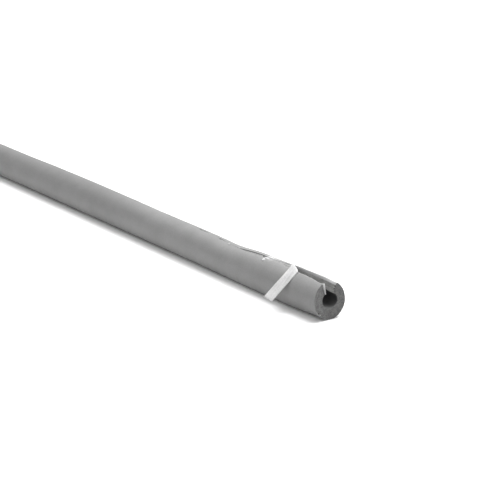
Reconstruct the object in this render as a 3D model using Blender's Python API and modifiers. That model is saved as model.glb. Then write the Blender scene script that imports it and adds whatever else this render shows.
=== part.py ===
"""Self-seal pipe insulation lagging: a slit foam tube with its two release liners, one of them peeled at the open end.

Metres, +Z up. The tube lies along X on the floor, with its open end at -X.
"""

import math

import bmesh
import bpy
import numpy as np

MM = 0.001

# Sizes of the closed tube
LENGTH = 1000 * MM
BORE = 19.5 * MM
WALL = 13 * MM
MIDDLE_RADIUS = BORE / 2 + WALL / 2

# The slit, with room for the two liners
HALF_SLIT = 0.7 * MM
CLEARANCE = 0.3 * MM
LINER_THICKNESS = 0.25 * MM
LINER_WIDTH = 12.6 * MM

# Each table gives values at distances from the open end in mm
# The angle between the slit's faces
OPENING = (
    (0, 42), (30, 38.5), (50, 35), (62, 31), (72, 26), (82, 18), (90, 11), (98, 6), (108, 3), (125, 1.5), (150, 1),
    (180, 0.5), (210, 0), (1000, 0),
)  # fmt: skip
# How far the slit has turned about the tube's axis towards -Y
TURNING = (
    (0, 0), (90, 0), (118, -2), (142, -4.5), (165, -8), (182, -8.5), (205, -5), (230, -0.5), (278, 4), (310, 8),
    (350, 15), (400, 21), (470, 26), (600, 29), (1000, 31),
)  # fmt: skip
# How far the foam beside each lip stands out of the round, in mm
RIGHT_LIFT = (
    (0, 0.3), (50, 0.6), (60, 0.8), (78, 1.9), (99, 2.5), (120, 2.6), (142, 2.6), (163, 1.9), (184, 0.1),
    (206, -1.3), (240, -0.4), (280, 0), (400, 0), (480, 0.7), (560, 1.2), (670, 1), (760, 0), (1000, 0),
)  # fmt: skip
LEFT_LIFT = (
    (0, 0), (50, 0.3), (70, 0.7), (85, 1.4), (99, 2.1), (142, 2.3), (163, 1.6), (184, 0), (206, -1.3), (240, -0.4),
    (280, 0), (400, 0), (480, 0.5), (560, 1), (670, 0.8), (760, 0), (1000, 0),
)  # fmt: skip
# How far round the tube from its lip each lift fades out
RIGHT_REACH = math.radians(100)
LEFT_REACH = math.radians(60)

# Sections of the tube along its length
STATIONS = (
    0, 12, 25, 38, 50, 56, 62, 68, 74, 80, 86, 92, 98, 105, 112, 121, 130, 140, 150, 158, 166, 174, 182, 190, 198,
    206, 214, 222, 230, 242, 254, 270, 290, 310, 330, 350, 375, 400, 435, 470, 535, 600, 700, 800, 900, 1000,
)  # fmt: skip
ARC_STEPS = 60

# The right liner leaves its face this far from the open end
PEEL_POINT = 98
# The peeled end of the right liner, from there to its tip: the edge that was at the lip, then the edge that was at
# the bore, each as distance from the open end, distance to the +Y side of the tube's axis and height above that axis
PEELED = (
    ((89.5, -2.4, 22.6), (92.0, -1.1, 11.3)),
    ((83.5, -2.7, 24.3), (88.3, -0.6, 13.6)),
    ((77.5, -2.2, 25.2), (85.3, 0.2, 16.4)),
    ((71.3, -0.7, 25.0), (82.4, 0.9, 20.4)),
    ((65.8, 1.8, 24.6), (78.2, 1.9, 24.8)),
    ((60.4, 4.8, 24.5), (72.0, 4.2, 29.2)),
    ((55.7, 8.1, 24.4), (65.5, 8.9, 32.2)),
    ((54.0, 11.6, 23.2), (64.7, 13.1, 30.1)),
    ((55.3, 20.9, 15.0), (66.6, 22.3, 21.1)),
    ((57.3, 32.6, 4.2), (68.8, 34.9, 9.8)),
    ((58.9, 46.9, -8.3), (70.4, 49.8, -3.0)),
)
PEELED_STEPS = 5
LINER_STRIPS = 4

# The tube's axis stands this far to the -Y side, so that the whole part is centred over the origin
SIDE_SHIFT = -12.4 * MM

GREY_FOAM = (0.235, 0.236, 0.238, 1)
WHITE_PAPER = (0.83, 0.83, 0.81, 1)


def clear_scene():
    for thing in list(bpy.data.objects):
        bpy.data.objects.remove(thing)


def new_collection(name):
    made = bpy.data.collections.new(name)
    bpy.context.scene.collection.children.link(made)
    return made


def new_material(name, colour, roughness):
    made = bpy.data.materials.new(name)
    made.use_nodes = True
    shader = made.node_tree.nodes["Principled BSDF"]
    shader.inputs["Base Color"].default_value = colour
    shader.inputs["Roughness"].default_value = roughness
    shader.inputs["Metallic"].default_value = 0
    return made


def from_table(table, distance):
    """The value at a distance from the open end, eased between the table's rows."""
    places = [row[0] * MM for row in table]
    values = [row[1] for row in table]
    last = len(places) - 1
    slopes = np.gradient(values, places)
    step = min(max(int(np.searchsorted(places, distance)) - 1, 0), last - 1)
    span = places[step + 1] - places[step]
    t = min(max((distance - places[step]) / span, 0), 1)
    rise = (1 + 2 * t) * (1 - t) ** 2 * values[step] + t * t * (3 - 2 * t) * values[step + 1]
    lean = t * (1 - t) ** 2 * span * slopes[step] - t * t * (1 - t) * span * slopes[step + 1]
    return rise + lean


def opening(distance):
    return math.radians(max(from_table(OPENING, distance), 0))


def radii(distance):
    """The middle, inner and outer radius of the section: opening the slit makes the ring wider."""
    middle = MIDDLE_RADIUS / (1 - opening(distance) / (2 * math.pi))
    return middle, middle - WALL / 2, middle + WALL / 2


def face_angle(distance, radius, offset, side):
    """The angle from the top, towards +Y, of a line in the slit that lies offset short of its middle plane."""
    half = opening(distance) / 2
    return side * (half + math.asin(offset / radius)) - math.radians(from_table(TURNING, distance))


def lift(distance, angle):
    """How far a point stands out of the round, for an angle that grows from the left lip round to the right lip."""
    outer = radii(distance)[2]
    from_left = angle - face_angle(distance, outer, HALF_SLIT, 1)
    from_right = face_angle(distance, outer, HALF_SLIT, -1) + 2 * math.pi - angle
    risen = 0
    for table, reach, turned in ((LEFT_LIFT, LEFT_REACH, from_left), (RIGHT_LIFT, RIGHT_REACH, from_right)):
        fade = math.cos(min(max(turned, 0) / reach, 1) * math.pi / 2) ** 2
        risen += from_table(table, distance) * MM * fade
    return risen


def place(distance, radius, angle):
    """A point of a section in the frame of the part, with the tube resting on the floor."""
    lifted = radius + lift(distance, angle)
    height = radii(distance)[2] + lifted * math.cos(angle)
    return (distance - LENGTH / 2, SIDE_SHIFT + lifted * math.sin(angle), height)


def section(distance):
    """The closed outline of the tube's section: round the outside from lip to lip, and back round the bore."""
    _, inner, outer = radii(distance)
    points = []
    for radius, order in ((outer, 1), (inner, -1)):
        start = face_angle(distance, radius, HALF_SLIT, 1)
        stop = face_angle(distance, radius, HALF_SLIT, -1) + 2 * math.pi
        angles = np.linspace(start, stop, ARC_STEPS + 1)[::order]
        points += [place(distance, radius, angle) for angle in angles]
    return points


def foam_tube(parts):
    """The tube is a loft, because its section opens and turns along the length."""
    built = bmesh.new()
    rings = [[built.verts.new(point) for point in section(distance * MM)] for distance in STATIONS]
    count = len(rings[0])
    for near, far in zip(rings, rings[1:]):
        for i in range(count):
            j = (i + 1) % count
            built.faces.new((near[i], near[j], far[j], far[i]))
    for ring in (rings[0], rings[-1]):
        for i in range(ARC_STEPS):
            built.faces.new((ring[i], ring[i + 1], ring[count - 2 - i], ring[count - 1 - i]))
    bmesh.ops.recalc_face_normals(built, faces=built.faces)
    return finish("foam_tube", built, new_material("grey_foam", GREY_FOAM, 0.75), parts)


def finish(name, built, material, parts):
    mesh = bpy.data.meshes.new(name)
    built.to_mesh(mesh)
    built.free()
    mesh.materials.append(material)
    mesh.shade_smooth()
    mesh.set_sharp_from_angle(angle=math.radians(40))
    made = bpy.data.objects.new(name, mesh)
    parts.objects.link(made)
    return made


def in_slit(distance, side):
    """The two long edges of a liner where it lies in the slit: at the lip, then at the bore."""
    middle = radii(distance)[0]
    offset = HALF_SLIT - CLEARANCE - LINER_THICKNESS / 2
    full_turn = 0 if side > 0 else 2 * math.pi
    edges = []
    for radius in (middle + LINER_WIDTH / 2, middle - LINER_WIDTH / 2):
        edges.append(place(distance, radius, face_angle(distance, radius, offset, side) + full_turn))
    return edges


def eased(rows, steps):
    """Rows of points with a smooth curve through them, with so many steps from one row to the next."""
    rows = np.array(rows, float)
    padded = np.concatenate([2 * rows[:1] - rows[1:2], rows, 2 * rows[-1:] - rows[-2:-1]])
    made = []
    for i in range(1, len(padded) - 2):
        before, start, stop, after = padded[i - 1 : i + 3]
        for t in np.arange(steps) / steps:
            bend = 2 * before - 5 * start + 4 * stop - after
            turn = 3 * start - before - 3 * stop + after
            made.append(0.5 * (2 * start + (stop - before) * t + bend * t**2 + turn * t**3))
    made.append(rows[-1])
    return made


def peeled_rows():
    """The two edges of the peeled end, in the frame of the part."""
    middle_height = radii(0)[2]
    rows = []
    for pair in PEELED:
        edges = [(s * MM - LENGTH / 2, SIDE_SHIFT + y * MM, middle_height + z * MM) for s, y, z in pair]
        rows.append(edges)
    return rows


def ribbon(name, rows, material, parts):
    """A liner: an open strip between two edges, given its thickness by Solidify."""
    built = bmesh.new()
    shares = np.linspace(0, 1, LINER_STRIPS + 1)
    lines = []
    for first, second in rows:
        first, second = np.array(first), np.array(second)
        lines.append([built.verts.new(first + share * (second - first)) for share in shares])
    for near, far in zip(lines, lines[1:]):
        for i in range(LINER_STRIPS):
            built.faces.new((near[i], near[i + 1], far[i + 1], far[i]))
    made = finish(name, built, material, parts)
    solid = made.modifiers.new("thickness", "SOLIDIFY")
    solid.thickness = LINER_THICKNESS
    solid.offset = 0
    return made


def liners(parts):
    paper = new_material("white_paper", WHITE_PAPER, 0.6)
    stuck = [in_slit(distance * MM, 1) for distance in STATIONS]
    ribbon("left_release_liner", stuck, paper, parts)
    lying = [in_slit(distance * MM, -1) for distance in STATIONS if distance >= PEEL_POINT][::-1]
    free = eased(lying[-2:] + peeled_rows(), PEELED_STEPS)
    ribbon("right_release_liner", lying[:-2] + free, paper, parts)


def main():
    clear_scene()
    parts = new_collection("pipe_insulation_lagging")
    foam_tube(parts)
    liners(parts)


main()
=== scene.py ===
import math
from functools import partial

import bmesh
import bpy
import numpy as np
from bpy.props import FloatProperty, FloatVectorProperty, IntProperty, PointerProperty
from mathutils import Euler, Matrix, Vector


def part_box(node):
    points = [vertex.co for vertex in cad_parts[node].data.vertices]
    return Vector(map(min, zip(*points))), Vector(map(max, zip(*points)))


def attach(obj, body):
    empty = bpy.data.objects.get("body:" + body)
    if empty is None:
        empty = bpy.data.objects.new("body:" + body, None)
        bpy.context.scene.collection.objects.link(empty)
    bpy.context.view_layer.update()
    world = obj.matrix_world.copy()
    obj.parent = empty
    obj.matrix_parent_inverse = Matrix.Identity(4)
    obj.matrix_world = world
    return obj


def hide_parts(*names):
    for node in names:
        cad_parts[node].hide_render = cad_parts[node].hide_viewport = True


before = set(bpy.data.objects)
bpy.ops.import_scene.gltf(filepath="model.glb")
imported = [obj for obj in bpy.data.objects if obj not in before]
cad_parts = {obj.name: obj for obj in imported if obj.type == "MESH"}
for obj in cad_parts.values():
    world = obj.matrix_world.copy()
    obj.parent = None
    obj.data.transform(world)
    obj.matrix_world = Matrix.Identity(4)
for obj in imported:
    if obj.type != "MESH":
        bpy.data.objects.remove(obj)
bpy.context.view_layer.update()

bl_info = {
    "name": "Self-seal pipe lagging",
    "version": (1, 0, 0),
    "blender": (4, 5, 0),
    "location": "3D View > Sidebar > Lagging",
    "description": "Builds a length of slit foam pipe lagging with its release liners and a plain studio",
    "category": "Mesh",
}

MM = 0.001
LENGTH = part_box("foam_tube")[1].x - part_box("foam_tube")[0].x
OPEN_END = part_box("foam_tube")[0].x
# The tube's own axis lies to the -Y side of the origin
AXIS_Y = (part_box("foam_tube")[0].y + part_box("foam_tube")[1].y) / 2

# Each table gives its values at distances from the open end in mm
# The angle between the slit's faces, in degrees
OPENING = (
    (0, 42), (30, 38.5), (50, 35), (62, 31), (72, 26), (82, 18), (90, 11), (98, 6), (108, 3), (125, 1.5),
    (150, 1), (180, 0.5), (210, 0), (1000, 0),
)  # fmt: skip
# How far the slit has turned about the tube's axis towards -Y, in degrees
TURNING = (
    (0, 0), (90, 0), (118, -2), (142, -4.5), (165, -8), (182, -8.5), (205, -5), (230, -0.5), (278, 4),
    (310, 8), (350, 15), (400, 21), (470, 26), (600, 29), (1000, 31),
)  # fmt: skip
# How far the lip on each side stands out of the round, in mm
RIGHT_LIFT = (
    (0, -0.6), (6, -0.3), (14, 0.2), (50, 0.6), (60, 0.8), (78, 1.9), (99, 2.5), (120, 2.6), (142, 2.6),
    (163, 1.9), (184, 0.1), (206, -1.3), (240, -0.4), (280, 0), (400, 0), (480, 0.7), (560, 1.2), (670, 1),
    (760, 0), (1000, 0),
)  # fmt: skip
LEFT_LIFT = (
    (0, 0.5), (12, 1.3), (25, 1.6), (40, 1.8), (50, 1.4), (58, 1), (70, 1.1), (85, 1.5), (99, 2.1),
    (120, 2.3), (130, 1.7), (142, 1.6), (163, 0.9), (175, 0.2), (184, -0.2), (206, -1.3), (240, -0.4),
    (280, 0), (400, 0), (480, 0.5), (560, 1), (670, 0.8), (760, 0), (1000, 0),
)  # fmt: skip
# How far the soft tube spreads where it rests on the floor, in mm
SAG = ((0, 0), (12, 0.2), (25, 0.9), (40, 1.5), (300, 1.7), (600, 1.5), (1000, 1.5))
# How much further each lip is turned back near the open end, in degrees
RIGHT_FLARE = ((0, 8), (8, 7), (22, 3), (40, 0.3), (45, 0), (46, 0), (1000, 0))
LEFT_FLARE = ((0, 3), (8, 2.6), (22, 1), (40, 0.1), (45, 0), (46, 0), (1000, 0))
# Half the gap between the two lips of the slit, in mm
GAPE = (
    (0, 0.38), (98, 0.38), (110, 0.15), (120, 0.04), (127, 0.05), (134, 0.3), (145, 0.4), (160, 0.4),
    (172, 0.3), (182, 0.2), (190, 0.05), (226, 0.04), (233, 0.22), (243, 0.05), (266, 0.04), (276, 0.25),
    (288, 0.05), (345, 0.04), (356, 0.25), (370, 0.05), (371, 0.05), (1000, 0.04),
)  # fmt: skip
# Painted highlight and shade on each lip of the slit: pale where the rounded lip catches the light from
# above, dark where the seam gapes and lies in shade
LEFT_LIP_LIGHT_AND_SHADE = (
    (0, 0.22), (26, 0.24), (80, 0.22), (107, 0.3), (118, 0.45), (129, 0.45), (133, 0.04), (178, 0.05),
    (184, 0.18), (1000, 0.18),
)  # fmt: skip
RIGHT_LIP_LIGHT_AND_SHADE = (
    (0, 0.3), (8, 0.46), (14, 0.46), (26, 0.34), (45, 0.27), (80, 0.25), (100, 0.24), (107, 0.36), (118, 0.5),
    (129, 0.5), (133, 0.04), (178, 0.05), (184, 0.18), (224, 0.2), (227, 0.06), (240, 0.07), (243, 0.19),
    (268, 0.18), (271, 0.07), (286, 0.08), (290, 0.19), (348, 0.18), (352, 0.08), (368, 0.08), (372, 0.18),
    (1000, 0.16),
)  # fmt: skip
# Painted light and shade on the skin's sides and its top, as a share of its colour: the top is painted much
# paler near the open end, where the light from above is strongest, and both change along the tube as the
# light falls off
SIDE_PAINTED_LIGHT = ((0, 0.93), (70, 0.94), (170, 1.01), (400, 1.02), (520, 0.95), (1000, 0.94))
TOP_PAINTED_LIGHT = ((0, 1.26), (70, 1.25), (170, 1.2), (250, 1.13), (400, 1.06), (520, 0.88), (1000, 0.84))
# Painted light on the adhesive, as a share of its colour: paler further from the open end, where the
# narrowing slit shades it
ADHESIVE_PAINTED_LIGHT = ((0, 1.0), (38, 1.0), (55, 1.3), (100, 1.35), (1000, 1.35))

# How much more the left face turns back at the bore than at the lip, as a share of its turn at the lip, and
# the power by which that grows with the depth
LEFT_TWIST = 4.6
TWIST_BEND = 1.6
# How round the left lip is, as a share of the right lip
LEFT_ROUND = 0.45
# The lips have their full roundness from this opening on
ROUND_OPENING = math.radians(30)
# The power by which a turned-back lip's turn fades out round the tube
FLARE_FADE = 6.0
# How far round the tube each lip's lift reaches
RIGHT_REACH = math.radians(100)
LEFT_REACH = math.radians(60)
# The sag begins and is full at these angles from the top
SAG_FROM = math.radians(85)
SAG_FULL = math.radians(150)
# The open end was cut at a slant, its top further back: distance back for each unit of height
END_SLANT = 0.1
SLANT_FADE = 60 * MM

# Patches of scuffed or stained skin: the middle and the reach as distance along, across and up, all in mm,
# then how much paler the middle is, as a share
PATCHES = (((123, -3, 47), (16, 12, 12), 0.6), ((158, -8, 46), (34, 7.5, 9), -0.3))
# Bits of torn paper and foam, and dark slivers that are painted shade: the darkest, with a paleness below
# 0.1, sit in the seam's gaps and at the open end, one of them beside the stuck liner's end. For each:
# distance from the open end, distance from the slit round the skin towards +Y, height above the skin, length,
# width and thickness, all in mm, then how pale it is
BITS_AND_SHADE_SLIVERS = (
    (124, -2.4, 0, 13, 3, 0.8, 0.55), (128.8, 6.2, 0.2, 4.4, 4.2, 2.2, 0.62), (127, 1.6, 0.1, 9, 3.6, 1, 0.5),
    (136.5, 0.2, 0.1, 3.4, 1.3, 0.8, 0.03), (214, 1.2, 0.3, 3.4, 2.4, 1.6, 0.5),
    (190, -0.6, 0.1, 5, 1.6, 0.8, 0.34), (193, 1.8, 0.1, 2.5, 1.2, 0.6, 0.3), (103, 0.9, 0, 3, 1.2, 0.6, 0.3),
    (152, 1.3, 0, 5, 1, 0.6, 0.27), (236, 1, 0, 4, 1, 0.5, 0.06), (262, 0.6, 0, 4, 1.2, 0.6, 0.3),
    (283, 1.2, 0, 5, 1, 0.5, 0.07), (310, 0.6, 0, 6, 1.6, 0.6, 0.28), (331, 0.9, 0, 4, 1.2, 0.6, 0.3),
    (365, 1.4, 0, 6, 1, 0.5, 0.08), (-1.7, 47.4, -1.9, 0.8, 2.2, 1.3, 0.42),
    (-1.5, 44, -2.2, 0.8, 2.6, 1.6, 0.03), (1.7, -22.8, -5.4, 1, 1.8, 2, 0.02),
    (1.4, -23, -8.6, 1, 1.8, 1.4, 0.03),
)  # fmt: skip
# The peeled end of the right liner: the edge that was at the lip, then the edge that was at the bore, each as
# distance from the open end, distance to the +Y side of the tube's axis and height above that axis, in mm
PEELED = (
    ((89.5, -2.4, 22.6), (92.0, -1.1, 11.3)),
    ((83.5, -2.7, 24.3), (88.3, -0.6, 13.6)),
    ((77.5, -2.2, 25.2), (85.3, 0.2, 16.4)),
    ((71.3, -0.7, 25.0), (82.4, 0.9, 20.4)),
    ((65.8, 1.8, 24.6), (78.2, 1.9, 24.8)),
    ((60.4, 4.8, 24.5), (72.0, 4.2, 29.2)),
    ((55.7, 8.1, 24.6), (65.5, 7.7, 33.6)),
    ((54.0, 11.6, 23.2), (64.7, 12.6, 30.6)),
    ((55.3, 20.9, 15.0), (66.6, 22.3, 21.1)),
    ((57.3, 32.6, 4.2), (68.8, 34.9, 9.8)),
    ((58.9, 46.9, -8.3), (70.6, 51.4, -4.4)),
)
# The right liner leaves its face this far from the open end
PEEL_POINT = 98 * MM
# The liners lie this far from the slit's middle plane
LINER_OFFSET = 0.2 * MM
# Which way the two edges of the stuck liner's open end bend out
LIP_BEND = (-1, -0.6, 0.85)
BORE_BEND = (-1, -0.1, 0)

# The floor reaches this far to each side, in metres
FLOOR_REACH = 12.0
# The soft lights fade out where the cosine of the angle to their middle falls to this
LIGHT_EDGE = 0.77
# The camera's place from the open end and the tube's axis, its tilt and turn in degrees, and its lens in mm
CAMERA_PLACE = (-1.80155, 1.46066, 0.85611)
CAMERA_TILT = 90 - 18.2575
CAMERA_TURN = -36.5399 - 90
CAMERA_LENS = 140.4


def length_property(name, description, millimetres):
    return FloatProperty(name=name, description=description, default=millimetres * MM, unit="LENGTH")


def colour_property(name, description, colour):
    return FloatVectorProperty(name=name, description=description, default=colour, subtype="COLOR")


def direction_property(name, description, direction):
    return FloatVectorProperty(name=name, description=description, default=direction, subtype="XYZ")


class TubeSizes(bpy.types.PropertyGroup):
    bore: length_property("Bore", "Inner diameter of the closed tube", 19.5)
    wall: length_property("Wall", "Thickness of the foam", 13)
    half_slit: length_property("Half slit", "Half the gap of the closed slit", 0.38)
    corner: length_property("Corner", "Radius of the cut edges", 0.45)
    open_corner: length_property("Open corner", "Radius of the lips where the slit is open", 2.2)
    oval: length_property("Oval", "How far the bore's top and bottom stand in at the open end", 2.2)
    skin_wave: length_property("Skin wave", "Height of the slow waves in the skin", 0.22)
    cut_wave: length_property("Cut wave", "Height of the unevenness of cut foam", 0.12)
    arc_steps: IntProperty(name="Arc steps", description="Faces round the tube", default=84, min=24)
    foam_colour: colour_property("Foam", "Colour of the foam's skin", (0.186, 0.186, 0.185))
    cut_colour: colour_property("Cut foam", "Colour of foam where it is cut", (0.118, 0.118, 0.117))
    # The bore's colour is painted shade: far darker than the foam's skin
    bore_shade_colour: colour_property("Bore", "Colour of the bore's skin", (0.03, 0.03, 0.031))
    adhesive_colour: colour_property("Adhesive", "Colour of the slit face's adhesive", (0.18, 0.18, 0.176))


class LinerSizes(bpy.types.PropertyGroup):
    width: length_property("Width", "Width of a release liner", 12.6)
    thickness: length_property("Thickness", "Thickness of the release paper", 0.14)
    lowered: length_property("Lowered", "How far the liners sit below the middle of the face", 0.6)
    curl: length_property("Curl", "How far the stuck liner's free corner bends into the slit", 2.2)
    curl_length: length_property("Curl length", "Length of the stuck liner's bent end", 8)
    paper_colour: colour_property("Paper", "Colour of the release paper", (0.56, 0.56, 0.56))


class StudioSizes(bpy.types.PropertyGroup):
    floor_colour: colour_property("Floor", "Colour of the floor", (0.95, 0.95, 0.95))
    sky: FloatProperty(name="Sky", description="Strength of the even light from all round", default=0.52)
    key: FloatProperty(name="Key", description="Strength of the light from above and behind", default=7.2)
    key_direction: direction_property("Key direction", "Where the key light comes from", (0.2, -0.41, 0.91))
    fill: FloatProperty(name="Fill", description="Strength of the light from above and in front", default=0.7)
    fill_direction: direction_property("Fill direction", "Where the fill light comes from", (0.2, 0.7, 0.7))


def from_table(table, distance):
    """The table's value at a distance from the open end in metres, eased between its rows."""
    places = np.array([row[0] for row in table]) * MM
    values = np.array([row[1] for row in table], float)
    slopes = np.gradient(values, places)
    step = min(max(int(np.searchsorted(places, distance)) - 1, 0), len(places) - 2)
    span = places[step + 1] - places[step]
    t = min(max((distance - places[step]) / span, 0), 1)
    rise = (1 + 2 * t) * (1 - t) ** 2 * values[step] + t * t * (3 - 2 * t) * values[step + 1]
    lean = t * (1 - t) ** 2 * span * slopes[step] - t * t * (1 - t) * span * slopes[step + 1]
    return float(rise + lean)


class Section:
    """The tube's section at a distance from the open end."""

    def __init__(self, distance):
        sizes = bpy.context.scene.lagging_tube
        self.distance = distance
        self.opening = math.radians(max(from_table(OPENING, distance), 0))
        self.turn = math.radians(from_table(TURNING, distance))
        self.right = from_table(RIGHT_LIFT, distance) * MM
        self.left = from_table(LEFT_LIFT, distance) * MM
        self.middle = (sizes.bore + sizes.wall) / 2 / (1 - self.opening / (2 * math.pi))
        self.outer = self.middle + sizes.wall / 2
        self.gape = from_table(GAPE, distance) * MM
        self.right_flare = math.radians(from_table(RIGHT_FLARE, distance))
        self.left_flare = math.radians(from_table(LEFT_FLARE, distance))
        self.sag = from_table(SAG, distance) * MM
        opened = min(self.opening / ROUND_OPENING, 1)
        self.corner = sizes.corner + (sizes.open_corner - sizes.corner) * opened

    def face_angle(self, radius, offset, side):
        """The angle of a line at an offset from the slit's middle plane, to the side 1 (+Y) or -1 of it."""
        deeper = max((self.outer - radius) / (self.outer - self.middle) / 2, 0) ** TWIST_BEND
        flare = self.left_flare * (1 + LEFT_TWIST * deeper) if side > 0 else self.right_flare
        return side * (self.opening / 2 + flare + math.asin(offset / radius)) - self.turn

    def place(self, radius, offset, side):
        """A point in the slit, at an offset to the side 1 (+Y) or -1 of its middle, lifted with that lip."""
        angle = self.face_angle(radius, offset, side)
        lifted = radius + (self.left if side > 0 else self.right)
        height = self.outer + lifted * math.cos(angle)
        back = END_SLANT * (height - self.outer) * max(1 - self.distance / SLANT_FADE, 0)
        return (OPEN_END + self.distance + back, AXIS_Y + lifted * math.sin(angle), height)


def set_or_link(tree, socket, value):
    if isinstance(value, bpy.types.NodeSocket):
        tree.links.new(value, socket)
    else:
        socket.default_value = value


def add(tree, kind, inputs=None, **settings):
    """A node with its settings and the values or links of its inputs, by name or number."""
    node = tree.nodes.new(kind)
    for key, value in settings.items():
        setattr(node, key, value)
    for key, value in (inputs or {}).items():
        set_or_link(tree, node.inputs[key], value)
    return node


def calc(tree, operation, *values):
    node = tree.nodes.new("ShaderNodeMath")
    node.operation = operation
    for socket, value in zip(node.inputs, values):
        set_or_link(tree, socket, value)
    return node.outputs[0]


def vector(tree, operation, *values):
    """What vector maths makes of two vectors."""
    return add(tree, "ShaderNodeVectorMath", dict(enumerate(values)), operation=operation).outputs[0]


def scaled(tree, colour, share):
    return add(tree, "ShaderNodeVectorMath", {0: colour, "Scale": share}, operation="SCALE").outputs[0]


def apart(tree, place):
    """The X, Y and Z of a vector."""
    return add(tree, "ShaderNodeSeparateXYZ", {0: place}).outputs


def joined(tree, *values):
    """A vector from its X, Y and Z."""
    return add(tree, "ShaderNodeCombineXYZ", dict(enumerate(values))).outputs[0]


def named(tree, name):
    """The number that is stored under this name."""
    return add(tree, "GeometryNodeInputNamedAttribute", {"Name": name}, data_type="FLOAT").outputs[0]


def interface(tree, in_out, rows):
    for name, kind, value in rows:
        socket = tree.interface.new_socket(name=name, in_out=in_out, socket_type="NodeSocket" + kind)
        if value is not None:
            socket.default_value = value


def geometry_tree(name, rows):
    """A Geometry Nodes tree with its named inputs; gives the tree and its two end nodes."""
    tree = bpy.data.node_groups.new(name, "GeometryNodeTree")
    interface(tree, "INPUT", [("Geometry", "Geometry", None)] + rows)
    interface(tree, "OUTPUT", [("Geometry", "Geometry", None)])
    return tree, tree.nodes.new("NodeGroupInput"), tree.nodes.new("NodeGroupOutput")


def new_object(name, mesh):
    made = bpy.data.objects.new(name, mesh)
    bpy.context.scene.collection.objects.link(made)
    return made


def points_with_values(name, columns):
    """An object that is a row of points, with one number on each point for each named column."""
    count = len(next(iter(columns.values())))
    mesh = bpy.data.meshes.new(name)
    mesh.from_pydata([(0, 0, 0)] * count, [(i, i + 1) for i in range(count - 1)], [])
    for column, values in columns.items():
        mesh.attributes.new(column, "FLOAT", "POINT").data.foreach_set("value", np.array(values, np.float32))
    return new_object(name, mesh)


def grown(name, source, tree, values):
    """A plain mesh of what a tree makes on a source object, which is then removed."""
    modifier = source.modifiers.new("grown", "NODES")
    modifier.node_group = tree
    for item in tree.interface.items_tree:
        if item.in_out == "INPUT" and item.name in values:
            modifier[item.identifier] = values[item.name]
    evaluated = source.evaluated_get(bpy.context.evaluated_depsgraph_get())
    mesh = bpy.data.meshes.new_from_object(evaluated)
    source.modifiers.remove(modifier)
    bpy.data.objects.remove(source)
    mesh.name = name
    return new_object(name, mesh)


def noise(tree, position, scale, detail=2.0, rough=0.5):
    """Smooth noise from -1 to 1."""
    values = {"Vector": position, "Scale": scale, "Detail": detail, "Roughness": rough}
    return calc(tree, "MULTIPLY_ADD", add(tree, "ShaderNodeTexNoise", values).outputs[0], 2.0, -1.0)


SPINE_VALUES = (
    "distance", "opening", "turn", "right", "left", "middle", "corner", "gape", "sag", "right_flare",
    "left_flare",
)  # fmt: skip
OUTLINE_VALUES = ("across", "depth", "inset", "share", "gap", "surface")
# What the outline's surface number stands for
SKIN, SLIT_FACE, BORE, LEFT_LIP, RIGHT_LIP = 0, 1, 2, -2, -3


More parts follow.
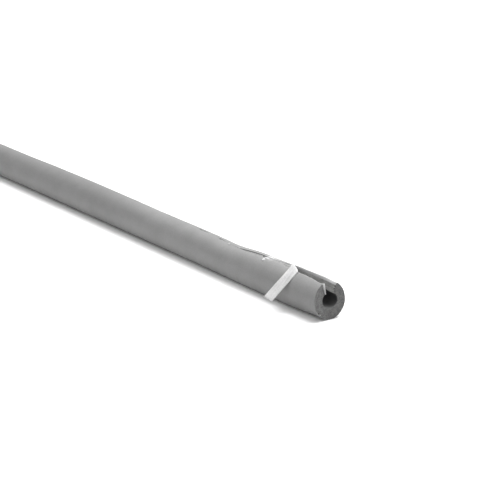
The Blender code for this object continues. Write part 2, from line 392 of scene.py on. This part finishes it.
def tube_tree():
    """Sweeps the slit tube's outline along a spine whose points hold the opening, the turn and the lifts."""
    defaults = {
        "Wall": 0.013, "Half Slit": 0.0004, "Start": -0.5, "Side": 0.0, "Skin Wave": 0.0002,
        "Cut Wave": 0.0001, "Corner": 0.0005, "Left Round": 1.0, "Left Twist": 0.0, "Twist Bend": 1.0,
        "Flare Fade": 6.0, "Oval": 0.0, "Open Most": 0.7, "Sag From": 1.4, "Sag Full": 2.6,
        "Right Reach": 1.7, "Left Reach": 1.0, "End Slant": 0.1, "Slant Fade": 0.06,
    }  # fmt: skip
    rows = [("Outline", "Object", None)] + [(name, "Float", value) for name, value in defaults.items()]
    rows += [(name, "Material", None) for name in ("Skin", "Cut Foam", "Bore Skin", "Adhesive", "Lip")]
    tree, given, out = geometry_tree("slit tube", rows)
    size = given.outputs
    do = partial(calc, tree)
    spine = size["Geometry"]
    outline = add(tree, "GeometryNodeObjectInfo", {"Object": size["Outline"]}).outputs["Geometry"]
    along_count = add(tree, "GeometryNodeAttributeDomainSize", {0: spine}).outputs["Point Count"]
    round_count = add(tree, "GeometryNodeAttributeDomainSize", {0: outline}).outputs["Point Count"]
    sheet = {"Size X": 1.0, "Size Y": 1.0, "Vertices X": along_count, "Vertices Y": round_count}
    grid = add(tree, "GeometryNodeMeshGrid", sheet).outputs["Mesh"]
    place = apart(tree, add(tree, "GeometryNodeInputPosition").outputs[0])

    def index(share, count):
        return do("ROUND", do("MULTIPLY", do("ADD", share, 0.5), do("SUBTRACT", count, 1.0)))

    def read(geometry, name, which):
        row = {"Geometry": geometry, "Value": named(tree, name), "Index": which}
        return add(tree, "GeometryNodeSampleIndex", row).outputs[0]

    # Which point of the spine and of the outline each point of the grid takes its numbers from
    station, corner = index(place[0], along_count), index(place[1], round_count)
    distance, opening, turn, right, left, middle, lip_radius, gape, sag, right_flare, left_flare, shrink = (
        read(spine, name, station) for name in (*SPINE_VALUES, "shrink")
    )
    across, depth, inset, share, gap, surface = (read(outline, name, corner) for name in OUTLINE_VALUES)
    wall = size["Wall"]
    # The radius, with the edges rounded over
    inside = do("SUBTRACT", wall, do("MULTIPLY", shrink, 2.0))
    at_lip = do("GREATER_THAN", across, 0.0)
    more = do("SUBTRACT", lip_radius, size["Corner"])
    side_round = {"Value": share, "To Min": size["Left Round"]}
    more = do("MULTIPLY", more, add(tree, "ShaderNodeMapRange", side_round).outputs[0])
    corner_radius = do("MULTIPLY_ADD", more, at_lip, size["Corner"])
    rounded = do("MULTIPLY", depth, do("MINIMUM", corner_radius, do("MULTIPLY", inside, 0.4)))
    radius = do("SUBTRACT", do("MULTIPLY_ADD", across, inside, middle), rounded)
    # The angle, from the slit's gap and opening and from how far each lip is turned back
    narrower = do("SUBTRACT", gape, size["Half Slit"])
    half_slit = do("MULTIPLY_ADD", narrower, gap, size["Half Slit"])
    slit = do("ARCSINE", do("DIVIDE", half_slit, radius))
    back = do("DIVIDE", do("MULTIPLY_ADD", inset, corner_radius, shrink), radius)
    lip = do("ADD", do("ADD", do("MULTIPLY", opening, 0.5), slit), back)
    sweep = do("SUBTRACT", 2 * math.pi, do("MULTIPLY", lip, 2.0))
    other_share = do("SUBTRACT", 1.0, share)
    to_right = do("MULTIPLY", do("POWER", share, size["Flare Fade"]), right_flare)
    to_left = do("MULTIPLY", do("POWER", other_share, size["Flare Fade"]), left_flare)
    deeper = do("POWER", do("SUBTRACT", 0.5, across), size["Twist Bend"])
    twisted = do("MULTIPLY", to_left, do("MULTIPLY_ADD", deeper, size["Left Twist"], 1.0))
    flared = do("SUBTRACT", twisted, to_right)
    level = do("SUBTRACT", do("MULTIPLY_ADD", share, sweep, lip), turn)
    angle = do("ADD", level, flared)

    def lift(height, from_lip, reach):
        turned = do("MINIMUM", do("DIVIDE", do("MULTIPLY", from_lip, sweep), reach), 1.0)
        fade = do("COSINE", do("MULTIPLY", turned, math.pi / 2))
        return do("MULTIPLY", height, do("MULTIPLY", fade, fade))

    left_lift = lift(left, share, size["Left Reach"])
    right_lift = lift(right, other_share, size["Right Reach"])
    # The oval bore, the sag on the floor and the slanted end
    upright = do("POWER", do("COSINE", angle), 2.0)
    opened = do("DIVIDE", opening, size["Open Most"])
    inwards = do("SUBTRACT", 0.5, do("MULTIPLY", across, do("DIVIDE", inside, wall)))
    oval = do("MULTIPLY", do("MULTIPLY", upright, opened), size["Oval"])
    rounder = do("SUBTRACT", radius, do("MULTIPLY", oval, inwards))
    from_top = do("ABSOLUTE", do("PINGPONG", angle, math.pi))
    low = ramp(tree, from_top, size["Sag From"], size["Sag Full"])
    spread = do("MULTIPLY", do("MULTIPLY", low, sag), do("SUBTRACT", 1.0, inwards))
    lifted = do("ADD", do("ADD", rounder, spread), do("ADD", left_lift, right_lift))
    outer = do("MULTIPLY_ADD", wall, 0.5, middle)
    upward = do("MULTIPLY", lifted, do("COSINE", angle))
    near = do("MAXIMUM", do("SUBTRACT", 1.0, do("DIVIDE", distance, size["Slant Fade"])), 0.0)
    slanted = do("MULTIPLY", do("MULTIPLY", upward, size["End Slant"]), near)
    swept = joined(
        tree,
        do("ADD", do("ADD", size["Start"], distance), slanted),
        do("MULTIPLY_ADD", lifted, do("SINE", angle), size["Side"]),
        do("ADD", upward, outer),
    )
    body = grid
    for name, value in (("surface", surface), ("cap", do("GREATER_THAN", shrink, 0.4 * MM))):
        stored = {"Geometry": body, "Name": name, "Value": value}
        body = add(tree, "GeometryNodeStoreNamedAttribute", stored).outputs[0]
    body = add(tree, "GeometryNodeSetPosition", {"Geometry": body, "Position": swept}).outputs[0]
    body = add(tree, "GeometryNodeMergeByDistance", {"Geometry": body, "Distance": 0.01 * MM}).outputs[0]

    # Waves in the skin and unevenness where the foam is cut; then nothing goes below the floor
    position = add(tree, "GeometryNodeInputPosition").outputs[0]
    slow = vector(tree, "MULTIPLY", position, (9.0, 45.0, 45.0))
    quick = vector(tree, "MULTIPLY", position, (160.0, 300.0, 300.0))
    on_slit = do("COMPARE", named(tree, "surface"), SLIT_FACE, 0.4)
    is_cut = do("MAXIMUM", named(tree, "cap"), on_slit)
    skin = do("MULTIPLY", noise(tree, slow, 1.0), size["Skin Wave"])
    rough = do("MULTIPLY", noise(tree, quick, 1.0, 3.0), size["Cut Wave"])
    height = do("ADD", skin, do("MULTIPLY", rough, is_cut))
    offset = scaled(tree, add(tree, "GeometryNodeInputNormal").outputs[0], height)
    body = add(tree, "GeometryNodeSetPosition", {"Geometry": body, "Offset": offset}).outputs[0]
    x, y, z = apart(tree, add(tree, "GeometryNodeInputPosition").outputs[0])
    floor = joined(tree, x, y, do("MAXIMUM", z, 0.0))
    body = add(tree, "GeometryNodeSetPosition", {"Geometry": body, "Position": floor}).outputs[0]
    body = add(tree, "GeometryNodeSetShadeSmooth", {"Geometry": body}).outputs[0]
    body = add(tree, "GeometryNodeRealizeInstances", {"Geometry": body}).outputs[0]
    body = add(tree, "GeometryNodeSetMaterial", {"Geometry": body, "Material": size["Skin"]}).outputs[0]
    bore = do("GREATER_THAN", named(tree, "surface"), BORE - 0.55)
    lips = do("LESS_THAN", named(tree, "surface"), -0.9)
    choices = ((on_slit, "Adhesive"), (bore, "Bore Skin"), (lips, "Lip"), (named(tree, "cap"), "Cut Foam"))
    for chosen, material in choices:
        choice = {"Geometry": body, "Selection": chosen, "Material": size[material]}
        body = add(tree, "GeometryNodeSetMaterial", choice).outputs[0]
    tree.links.new(body, out.inputs[0])
    return tree


def outline_columns():
    """The outline of the section, from lip to lip round the outside and back round the bore, closed."""
    shares = np.linspace(0, 1, bpy.context.scene.lagging_tube.arc_steps + 1)
    corner = [(1 - math.sin(t), 1 - math.cos(t)) for t in np.radians(np.linspace(0, 90, 6))][1:]
    down = np.linspace(0.5, -0.5, 13)[1:-1]
    # Each point has its place across the wall, how deep and how far inset it lies in a rounded corner, its
    # share of the way from the left lip to the right one, how much it follows the lips' gap, and its surface
    points = [(0.5, 0, 1, share, 1, SKIN) for share in shares]
    points += [(0.5, deep, inset, 1, 1, RIGHT_LIP) for inset, deep in corner]
    for step in down:
        surface = RIGHT_LIP if step > 0.4 else SLIT_FACE
        points += [(step, 2 * step, 0, 1, max(12 * step - 5, 0), surface)]
    points += [(-0.5, -deep, inset, 1, 0, SLIT_FACE) for inset, deep in corner[::-1]]
    points += [(-0.5, 0, 1, share, 0, BORE) for share in shares[::-1]]
    points += [(-0.5, -deep, inset, 0, 0, BORE) for inset, deep in corner]
    points += [(-step, -2 * step, 0, 0, max(-12 * step - 5, 0), SLIT_FACE) for step in down]
    points += [(0.5, deep, inset, 0, 1, LEFT_LIP) for inset, deep in corner[::-1]]
    points += [points[0]]
    return dict(zip(OUTLINE_VALUES, np.array(points, float).T))


def spine_columns():
    """Stations along the tube, closer near the open end; at each end they round the cut edge and close it."""
    sizes = bpy.context.scene.lagging_tube
    # Every 2 mm to 258 mm from the open end, then every 5 mm
    near = np.arange(1, 130) * 2 * MM
    far = np.arange(53, 200) * 5 * MM
    turns = np.radians(np.linspace(0, 90, 4))
    edge = [(sizes.corner * (1 - math.sin(t)), sizes.corner * (1 - math.cos(t))) for t in turns]
    closing = np.linspace(sizes.corner, sizes.wall / 2, 9)[1:]
    start = [(0, depth) for depth in closing[::-1]] + edge[::-1]
    rows = start + [(distance, 0) for distance in np.concatenate([near, far])]
    rows += [(LENGTH - distance, depth) for distance, depth in start[::-1]]
    columns = {"shrink": [depth for _, depth in rows]}
    for name in SPINE_VALUES:
        columns[name] = [getattr(Section(distance), name) for distance, _ in rows]
    return columns


def shader(name, roughness, specular=0.5):
    """A new material; gives it with its tree, its Principled shader and the object's own coordinates."""
    made = bpy.data.materials.new(name)
    made.use_nodes = True
    tree = made.node_tree
    surface = tree.nodes["Principled BSDF"]
    surface.inputs["Roughness"].default_value = roughness
    surface.inputs["Specular IOR Level"].default_value = specular
    coordinates = tree.nodes.new("ShaderNodeTexCoord").outputs["Object"]
    return made, tree, surface, coordinates


def mottle_group():
    """Slow patches and fine grain of lighter and darker colour."""
    group = bpy.data.node_groups.get("mottle")
    if group:
        return group
    group = bpy.data.node_groups.new("mottle", "ShaderNodeTree")
    interface(group, "INPUT", [("Vector", "Vector", None), ("Colour", "Color", (0.5, 0.5, 0.5, 1))])
    interface(group, "INPUT", [("Patch Scale", "Float", 40.0), ("Patch", "Float", 0.05)])
    interface(group, "INPUT", [("Grain Scale", "Float", 1500.0), ("Grain", "Float", 0.05)])
    interface(group, "OUTPUT", [("Colour", "Color", None), ("Value", "Float", None)])
    given, out = group.nodes.new("NodeGroupInput"), group.nodes.new("NodeGroupOutput")
    position = given.outputs["Vector"]
    value = 1.0
    for name, detail in (("Patch", 3.0), ("Grain", 1.0)):
        spots = noise(group, position, given.outputs[name + " Scale"], detail)
        value = calc(group, "ADD", calc(group, "MULTIPLY", spots, given.outputs[name]), value)
    group.links.new(scaled(group, given.outputs["Colour"], value), out.inputs["Colour"])
    group.links.new(value, out.inputs["Value"])
    return group


def mottled(tree, coordinates, colour, patch_scale, patch, grain_scale, grain):
    node = tree.nodes.new("ShaderNodeGroup")
    node.node_tree = mottle_group()
    values = {
        "Vector": coordinates,
        "Colour": (*colour, 1),
        "Patch Scale": patch_scale,
        "Patch": patch,
        "Grain Scale": grain_scale,
        "Grain": grain,
    }
    for key, value in values.items():
        set_or_link(tree, node.inputs[key], value)
    return node


def bump(tree, surface, height, strength, distance):
    values = {"Height": height, "Strength": strength, "Distance": distance}
    node = add(tree, "ShaderNodeBump", values)
    tree.links.new(node.outputs[0], surface.inputs["Normal"])


def blended(tree, share, first, second):
    """The first colour where the share is 0 and the second where it is 1."""
    mix = tree.nodes.new("ShaderNodeMix")
    mix.data_type = "RGBA"
    for socket, value in ((mix.inputs[0], share), (mix.inputs[6], first), (mix.inputs[7], second)):
        set_or_link(tree, socket, value)
    return mix.outputs[2]


def ramp(tree, value, low, high):
    """A smooth step of a value, from 0 at low to 1 at high."""
    values = {"Value": value, "From Min": low, "From Max": high}
    return add(tree, "ShaderNodeMapRange", values, interpolation_type="SMOOTHSTEP").outputs[0]


def along(tree, coordinates, table):
    """The table's value at the point's distance from the open end."""
    place = add(tree, "ShaderNodeSeparateXYZ", {0: coordinates}).outputs[0]
    share = calc(tree, "DIVIDE", calc(tree, "SUBTRACT", place, OPEN_END), LENGTH)
    node = add(tree, "ShaderNodeValToRGB", {0: share})
    stops = node.color_ramp.elements
    for number, (distance, value) in enumerate(table):
        stop = stops[number] if number < 2 else stops.new(1.0)
        stop.position = distance * MM / LENGTH
        stop.color = (value, value, value, 1)
    return node.outputs["Color"]


def foam_skin(name, colour):
    """The foam's skin, with fine lines along it, pores, painted light and shade along it and on its top, and
    scuffed patches.
    """
    made, tree, surface, coordinates = shader(name, roughness=0.62, specular=0.35)
    node = mottled(tree, coordinates, colour, patch_scale=45.0, patch=0.12, grain_scale=600.0, grain=0.12)
    # Painted light: the top is paler than the sides near the open end, and both change along the tube
    high = ramp(tree, apart(tree, coordinates)[2], 30 * MM, 46 * MM)
    sides, top = (along(tree, coordinates, table) for table in (SIDE_PAINTED_LIGHT, TOP_PAINTED_LIGHT))
    shaded = vector(tree, "MULTIPLY", node.outputs["Colour"], blended(tree, high, sides, top))
    for middle, reach, paler in PATCHES:
        middle = (OPEN_END + middle[0] * MM, AXIS_Y + middle[1] * MM, middle[2] * MM)
        away = vector(tree, "DIVIDE", vector(tree, "SUBTRACT", coordinates, middle), Vector(reach) * MM)
        away = add(tree, "ShaderNodeVectorMath", {0: away}, operation="LENGTH").outputs["Value"]
        uneven = calc(tree, "MULTIPLY_ADD", noise(tree, coordinates, 160.0), 0.35, away)
        shaded = scaled(tree, shaded, calc(tree, "MULTIPLY_ADD", ramp(tree, uneven, 1.0, 0.3), paler, 1.0))
    tree.links.new(shaded, surface.inputs["Base Color"])
    lines = vector(tree, "MULTIPLY", coordinates, (0.12, 1.0, 1.0))
    streaks, pores = noise(tree, lines, 900.0), noise(tree, coordinates, 1800.0)
    bump(tree, surface, calc(tree, "ADD", streaks, pores), strength=0.25, distance=0.08 * MM)
    return made


def cut_foam(name, colour):
    """Cut cells in slow patches, with darker torn pits, and painted shade that makes them darker towards -Y
    and paler towards +Y.
    """
    made, tree, surface, coordinates = shader(name, roughness=0.8, specular=0.3)
    values = {"Vector": coordinates, "Scale": 900.0}
    cells = add(tree, "ShaderNodeTexVoronoi", values, feature="DISTANCE_TO_EDGE")
    walls = calc(tree, "MINIMUM", calc(tree, "MULTIPLY", cells.outputs[0], 4.0), 1.0)
    node = mottled(tree, coordinates, colour, patch_scale=170.0, patch=0.55, grain_scale=700.0, grain=0.6)
    # Painted shade: darker towards -Y, paler towards +Y
    aside = ramp(tree, apart(tree, coordinates)[1], AXIS_Y - 22 * MM, AXIS_Y + 24 * MM)
    dark = calc(tree, "MULTIPLY_ADD", aside, 0.24, 1.0)
    dark = calc(tree, "SUBTRACT", dark, calc(tree, "MULTIPLY", walls, 0.2))
    pits = ramp(tree, noise(tree, coordinates, 480.0, 1.0), 0.35, 0.6)
    pitted = calc(tree, "MULTIPLY", dark, calc(tree, "SUBTRACT", 1.0, calc(tree, "MULTIPLY", pits, 0.45)))
    tree.links.new(scaled(tree, node.outputs["Colour"], pitted), surface.inputs["Base Color"])
    bump(tree, surface, calc(tree, "SUBTRACT", pitted, walls), strength=0.6, distance=0.15 * MM)
    return made


def shaded_bore_skin(name, colour, mouth_light_colour):
    """Skin inside the tube, dark with painted shade, and paler with painted light along the bottom of each
    mouth.
    """
    made, tree, surface, coordinates = shader(name, roughness=0.62, specular=0.35)
    node = mottled(tree, coordinates, colour, patch_scale=45.0, patch=0.09, grain_scale=700.0, grain=0.08)
    x, _, z = apart(tree, coordinates)
    # Painted light: paler along the bottom of each mouth
    mouth = ramp(tree, calc(tree, "SUBTRACT", LENGTH / 2, calc(tree, "ABSOLUTE", x)), 16 * MM, 0.0)
    low = ramp(tree, z, 24 * MM, 14 * MM)
    scuffed = calc(tree, "MULTIPLY", calc(tree, "MULTIPLY", mouth, low), 0.75)
    mixed = blended(tree, scuffed, node.outputs["Colour"], (*mouth_light_colour, 1))
    tree.links.new(mixed, surface.inputs["Base Color"])
    bump(tree, surface, noise(tree, coordinates, 900.0), strength=0.3, distance=0.1 * MM)
    return made


def lip_light_and_shade(name, skin_colour):
    """The skin along the slit's lips, patchy with painted highlight where the rounded lip catches the light
    and painted shade where the seam gapes.
    """
    made, tree, surface, coordinates = shader(name, roughness=0.55, specular=0.4)
    lines = vector(tree, "MULTIPLY", coordinates, (0.15, 1.0, 1.0))
    patches = ramp(tree, noise(tree, lines, 260.0, 3.0, 0.6), -0.7, 0.0)
    node = mottled(
        tree, coordinates, skin_colour, patch_scale=200.0, patch=0.15, grain_scale=900.0, grain=0.15
    )
    on_left = ramp(tree, apart(tree, coordinates)[1], AXIS_Y, AXIS_Y + 1 * MM)
    # Painted highlight and shade along each lip, laid on in patches
    right, left = (along(tree, coordinates, table) for table in (RIGHT_LIP_LIGHT_AND_SHADE, LEFT_LIP_LIGHT_AND_SHADE))
    painted_lip_tones = blended(tree, on_left, right, left)
    mixed = blended(tree, patches, node.outputs["Colour"], painted_lip_tones)
    tree.links.new(mixed, surface.inputs["Base Color"])
    bump(tree, surface, noise(tree, lines, 900.0), strength=0.4, distance=0.15 * MM)
    return made


def torn_bits(name):
    """Bits whose paleness is stored on them; the darkest are painted shade."""
    made, tree, surface, coordinates = shader(name, roughness=0.7, specular=0.3)
    tone = add(tree, "ShaderNodeAttribute", attribute_name="tone").outputs["Fac"]
    grain = calc(tree, "MULTIPLY_ADD", noise(tree, coordinates, 1500.0), 0.15, 1.0)
    grey = calc(tree, "MULTIPLY", tone, grain)
    tree.links.new(joined(tree, grey, grey, grey), surface.inputs["Base Color"])
    bump(tree, surface, noise(tree, coordinates, 1200.0), strength=0.4, distance=0.2 * MM)
    return made


def adhesive(name, colour):
    """Tacky film with streaks along it, darker spots where it has lifted, and painted light that makes it
    paler further from the open end.
    """
    made, tree, surface, coordinates = shader(name, roughness=0.45, specular=0.5)
    lines = vector(tree, "MULTIPLY", coordinates, (0.18, 1.0, 1.0))
    streaks = mottled(tree, lines, colour, patch_scale=420.0, patch=0.6, grain_scale=1500.0, grain=0.3)
    spots = ramp(tree, noise(tree, coordinates, 420.0, 2.0, 0.6), 0.1, 0.55)
    dark = calc(tree, "SUBTRACT", 1.0, calc(tree, "MULTIPLY", spots, 0.5))
    shaded = scaled(tree, streaks.outputs["Colour"], dark)
    # Painted light: paler further into the narrowing slit, where it lies in shade
    lit_adhesive = vector(tree, "MULTIPLY", shaded, along(tree, coordinates, ADHESIVE_PAINTED_LIGHT))
    tree.links.new(lit_adhesive, surface.inputs["Base Color"])
    bump(tree, surface, noise(tree, lines, 600.0, 3.0), strength=0.5, distance=0.3 * MM)
    return made


def paper(name, colour):
    """Release paper with faint lines along its free end, and painted light making it paler where it stands
    high.
    """
    made, tree, surface, coordinates = shader(name, roughness=0.5, specular=0.4)
    node = mottled(tree, coordinates, colour, patch_scale=300.0, patch=0.13, grain_scale=800.0, grain=0.18)
    # Painted light: paler where the paper stands high and faces up
    painted_top_light = ramp(tree, apart(tree, coordinates)[2], 41 * MM, 50 * MM)
    painted_top_light = calc(tree, "MULTIPLY_ADD", painted_top_light, 0.2, 0.95)
    lines = vector(tree, "MULTIPLY", coordinates, (1.0, 0.08, 0.08))
    streaked = calc(tree, "MULTIPLY_ADD", noise(tree, lines, 600.0), 0.22, painted_top_light)
    tree.links.new(scaled(tree, node.outputs["Colour"], streaked), surface.inputs["Base Color"])
    bump(tree, surface, noise(tree, coordinates, 1400.0, 3.0), strength=0.2, distance=0.08 * MM)
    return made


class LAGGING_OT_foam_tube(bpy.types.Operator):
    """Builds the slit foam tube, open at one end"""

    bl_idname = "lagging.foam_tube"
    bl_label = "Foam tube"

    def execute(self, context):
        sizes = context.scene.lagging_tube
        outline = points_with_values("outline", outline_columns())
        spine = points_with_values("spine", spine_columns())
        values = {
            "Outline": outline,
            "Wall": sizes.wall,
            "Half Slit": sizes.half_slit,
            "Start": OPEN_END,
            "Side": AXIS_Y,
            "Skin Wave": sizes.skin_wave,
            "Cut Wave": sizes.cut_wave,
            "Corner": sizes.corner,
            "Left Round": LEFT_ROUND,
            "Left Twist": LEFT_TWIST,
            "Twist Bend": TWIST_BEND,
            "Flare Fade": FLARE_FADE,
            "Oval": sizes.oval,
            "Open Most": math.radians(OPENING[0][1]),
            "Sag From": SAG_FROM,
            "Sag Full": SAG_FULL,
            "Right Reach": RIGHT_REACH,
            "Left Reach": LEFT_REACH,
            "End Slant": END_SLANT,
            "Slant Fade": SLANT_FADE,
            "Skin": foam_skin("grey foam skin", sizes.foam_colour),
            "Cut Foam": cut_foam("grey cut foam", sizes.cut_colour),
            "Bore Skin": shaded_bore_skin("grey bore skin with painted shade", sizes.bore_shade_colour, sizes.cut_colour),
            "Adhesive": adhesive("tacky adhesive", sizes.adhesive_colour),
            "Lip": lip_light_and_shade("lip with painted light and shade", sizes.foam_colour),
        }
        tube = grown("foam_lagging", spine, tube_tree(), values)
        bpy.data.objects.remove(outline)
        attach(tube, "root")
        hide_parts("foam_tube")
        return {"FINISHED"}


def in_slit(distance, side, offset):
    """The two long edges of a liner where it lies in the slit: at the lip, then at the bore."""
    section = Section(distance)
    half = bpy.context.scene.lagging_liner.width / 2
    middle = section.middle - bpy.context.scene.lagging_liner.lowered
    return [section.place(radius, offset, side) for radius in (middle + half, middle - half)]


def curled(edges, distance):
    """The stuck liner's open end comes off its face and bends into the slit, most at the lip."""
    sizes = bpy.context.scene.lagging_liner
    bend = sizes.curl * max(1 - distance / sizes.curl_length, 0) ** 2
    lip, bore = np.array(edges)
    return lip + bend * np.array(LIP_BEND), bore + bend * np.array(BORE_BEND)


def eased(rows, steps):
    """Rows of points with a smooth curve through them, with so many steps from one row to the next."""
    rows = np.array(rows, float)
    padded = np.concatenate([2 * rows[:1] - rows[1:2], rows, 2 * rows[-1:] - rows[-2:-1]])
    made = []
    for i in range(1, len(padded) - 2):
        before, start, stop, after = padded[i - 1 : i + 3]
        for t in np.arange(steps) / steps:
            bend = 2 * before - 5 * start + 4 * stop - after
            turn = 3 * start - before - 3 * stop + after
            made.append(0.5 * (2 * start + (stop - before) * t + bend * t**2 + turn * t**3))
    made.append(rows[-1])
    return made


def ribbon(name, rows, strips=8):
    """An open strip between two edges, given its thickness by Solidify."""
    built = bmesh.new()
    shares = np.linspace(0, 1, strips + 1)
    lines = []
    for first, second in rows:
        first, second = np.array(first), np.array(second)
        lines.append([built.verts.new(first + share * (second - first)) for share in shares])
    for near, far in zip(lines, lines[1:]):
        for i in range(strips):
            built.faces.new((near[i], near[i + 1], far[i + 1], far[i]))
    for face in built.faces:
        face.smooth = True
    mesh = bpy.data.meshes.new(name)
    built.to_mesh(mesh)
    built.free()
    made = new_object(name, mesh)
    solid = made.modifiers.new("thickness", "SOLIDIFY")
    solid.thickness = bpy.context.scene.lagging_liner.thickness
    solid.offset = 0
    return made


class LAGGING_OT_liners(bpy.types.Operator):
    """Builds the two release liners, one of them peeled and standing off the side of the tube"""

    bl_idname = "lagging.liners"
    bl_label = "Release liners"

    def execute(self, context):
        white = paper("white release paper", context.scene.lagging_liner.paper_colour)
        # Every mm to 9 mm from the open end, every 2 mm to 258 mm, then every 5 mm
        distances = np.concatenate([np.arange(10), np.arange(5, 130) * 2, np.arange(52, 201) * 5]) * MM
        edges = [curled(in_slit(distance, 1, LINER_OFFSET), distance) for distance in distances]
        stuck = ribbon("stuck_liner", edges)
        lying = [in_slit(distance, -1, LINER_OFFSET) for distance in distances if distance >= PEEL_POINT]
        lying.reverse()
        middle_height = Section(0).outer
        free = [
            [(OPEN_END + s * MM, AXIS_Y + y * MM, middle_height + z * MM) for s, y, z in pair]
            for pair in PEELED
        ]
        peeled = ribbon("peeled_liner", lying[:-2] + eased(lying[-2:] + free, 8))
        for liner, node in ((stuck, "left_release_liner"), (peeled, "right_release_liner")):
            liner.data.materials.append(white)
            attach(liner, "root")
            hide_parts(node)
        return {"FINISHED"}


def bits_tree():
    """Puts a flattened, ragged bit on each point, with the point's turn, size and paleness."""
    rows = [("Ragged", "Float", 0.3), ("Material", "Material", None)]
    tree, given, out = geometry_tree("torn bits and painted shade", rows)
    bit = add(tree, "GeometryNodeMeshIcoSphere", {"Radius": 0.5, "Subdivisions": 3}).outputs[0]
    size = [named(tree, axis) for axis in ("length", "width", "thickness")]
    scale = joined(tree, *(named(tree, axis) for axis in ("length", "width", "thickness")))
    turned = joined(tree, named(tree, "turned"))
    place = joined(tree, *(named(tree, axis) for axis in "xyz"))
    points = add(tree, "GeometryNodeSetPosition", {0: given.outputs["Geometry"], "Position": place})
    instances = {"Points": points.outputs[0], "Instance": bit, "Rotation": turned, "Scale": scale}
    body = add(tree, "GeometryNodeInstanceOnPoints", instances).outputs[0]
    body = add(tree, "GeometryNodeRealizeInstances", {0: body}).outputs[0]
    position = add(tree, "GeometryNodeInputPosition").outputs[0]
    uneven = calc(tree, "MULTIPLY", noise(tree, position, 700.0), given.outputs["Ragged"])
    offset = scaled(tree, add(tree, "GeometryNodeInputNormal").outputs[0], uneven)
    body = add(tree, "GeometryNodeSetPosition", {"Geometry": body, "Offset": offset}).outputs[0]
    body = add(tree, "GeometryNodeSetShadeSmooth", {"Geometry": body}).outputs[0]
    body = add(tree, "GeometryNodeRealizeInstances", {"Geometry": body}).outputs[0]
    body = add(tree, "GeometryNodeSetMaterial", {"Geometry": body, "Material": given.outputs["Material"]})
    tree.links.new(body.outputs[0], out.inputs[0])
    return tree


class LAGGING_OT_torn_bits(bpy.types.Operator):
    """Builds the bits of torn paper and foam along the slit, and dark slivers of painted shade"""

    bl_idname = "lagging.torn_bits"
    bl_label = "Torn bits and painted shade"

    def execute(self, context):
        names = ("x", "y", "z", "length", "width", "thickness", "turned", "tone")
        rows = []
        for distance, aside, height, length, width, thickness, tone in BITS_AND_SHADE_SLIVERS:
            section = Section(distance * MM)
            angle = section.face_angle(section.outer, 0, 1) + aside * MM / section.outer
            lift = section.left if aside > 0 else section.right
            radius = section.outer + lift + height * MM
            y, z = AXIS_Y + radius * math.sin(angle), section.outer + radius * math.cos(angle)
            size = (length * MM, width * MM, thickness * MM)
            rows.append((OPEN_END + distance * MM, y, z, *size, -angle, tone))
        points = points_with_values("bit points", dict(zip(names, np.array(rows).T)))
        values = {"Ragged": 0.3 * MM, "Material": torn_bits("torn bits and painted shade")}
        bits = grown("torn_bits", points, bits_tree(), values)
        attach(bits, "root")
        return {"FINISHED"}


class LAGGING_OT_studio(bpy.types.Operator):
    """Builds the pale floor, the soft light and the camera"""

    bl_idname = "lagging.studio"
    bl_label = "Studio"

    def execute(self, context):
        scene = context.scene
        sizes = scene.lagging_studio
        floor_mesh = bpy.data.meshes.new("floor")
        reach = FLOOR_REACH
        corners = [(-reach, -reach, 0), (reach, -reach, 0), (reach, reach, 0), (-reach, reach, 0)]
        floor_mesh.from_pydata(corners, [], [(0, 1, 2, 3)])
        material, _, surface, _ = shader("pale floor", 0.9, 0.0)
        surface.inputs["Base Color"].default_value = (*sizes.floor_colour, 1)
        floor_mesh.materials.append(material)
        new_object("floor", floor_mesh)

        world = bpy.data.worlds.new("soft sky")
        world.use_nodes = True
        scene.world = world
        tree = world.node_tree
        direction = tree.nodes.new("ShaderNodeTexCoord").outputs["Generated"]
        light = sizes.sky
        for strength, towards in ((sizes.key, sizes.key_direction), (sizes.fill, sizes.fill_direction)):
            directions = {0: direction, 1: Vector(towards).normalized()}
            facing = add(tree, "ShaderNodeVectorMath", directions, operation="DOT_PRODUCT").outputs["Value"]
            lobe = {"Value": facing, "From Min": LIGHT_EDGE, "From Max": 1.0, "To Max": strength}
            lobe = add(tree, "ShaderNodeMapRange", lobe, interpolation_type="SMOOTHSTEP").outputs[0]
            light = calc(tree, "ADD", lobe, light)
        tree.links.new(light, tree.nodes["Background"].inputs["Strength"])
        tree.nodes["Background"].inputs["Color"].default_value = (1, 1, 1, 1)

        camera = bpy.data.cameras.new("camera")
        camera.lens = CAMERA_LENS
        camera.sensor_width = 36
        camera.clip_end = 100
        viewer = new_object("camera", camera)
        viewer.location = [start + step for start, step in zip((OPEN_END, AXIS_Y, 0), CAMERA_PLACE)]
        viewer.rotation_euler = Euler((math.radians(CAMERA_TILT), 0, math.radians(CAMERA_TURN)))
        scene.camera = viewer
        scene.view_settings.view_transform = "Standard"
        return {"FINISHED"}


class LAGGING_PT_panel(bpy.types.Panel):
    """Lists the pieces of the lagging and the studio"""

    bl_idname = "LAGGING_PT_panel"
    bl_label = "Pipe lagging"
    bl_space_type = "VIEW_3D"
    bl_region_type = "UI"
    bl_category = "Lagging"

    def draw(self, context):
        column = self.layout.column()
        for operator in OPERATORS:
            column.operator(operator.bl_idname)
        for group in (context.scene.lagging_tube, context.scene.lagging_liner, context.scene.lagging_studio):
            for name in group.__annotations__:
                column.prop(group, name)


OPERATORS = (LAGGING_OT_foam_tube, LAGGING_OT_liners, LAGGING_OT_torn_bits, LAGGING_OT_studio)
CLASSES = (TubeSizes, LinerSizes, StudioSizes, *OPERATORS, LAGGING_PT_panel)
GROUPS = {"lagging_tube": TubeSizes, "lagging_liner": LinerSizes, "lagging_studio": StudioSizes}


def register():
    for made in CLASSES:
        bpy.utils.register_class(made)
    for name, group in GROUPS.items():
        setattr(bpy.types.Scene, name, PointerProperty(type=group))


def unregister():
    for name in GROUPS:
        delattr(bpy.types.Scene, name)
    for made in reversed(CLASSES):
        bpy.utils.unregister_class(made)


def main():
    register()
    for operator in OPERATORS:
        module, name = operator.bl_idname.split(".")
        getattr(getattr(bpy.ops, module), name)()


if __name__ == "__main__":
    main()
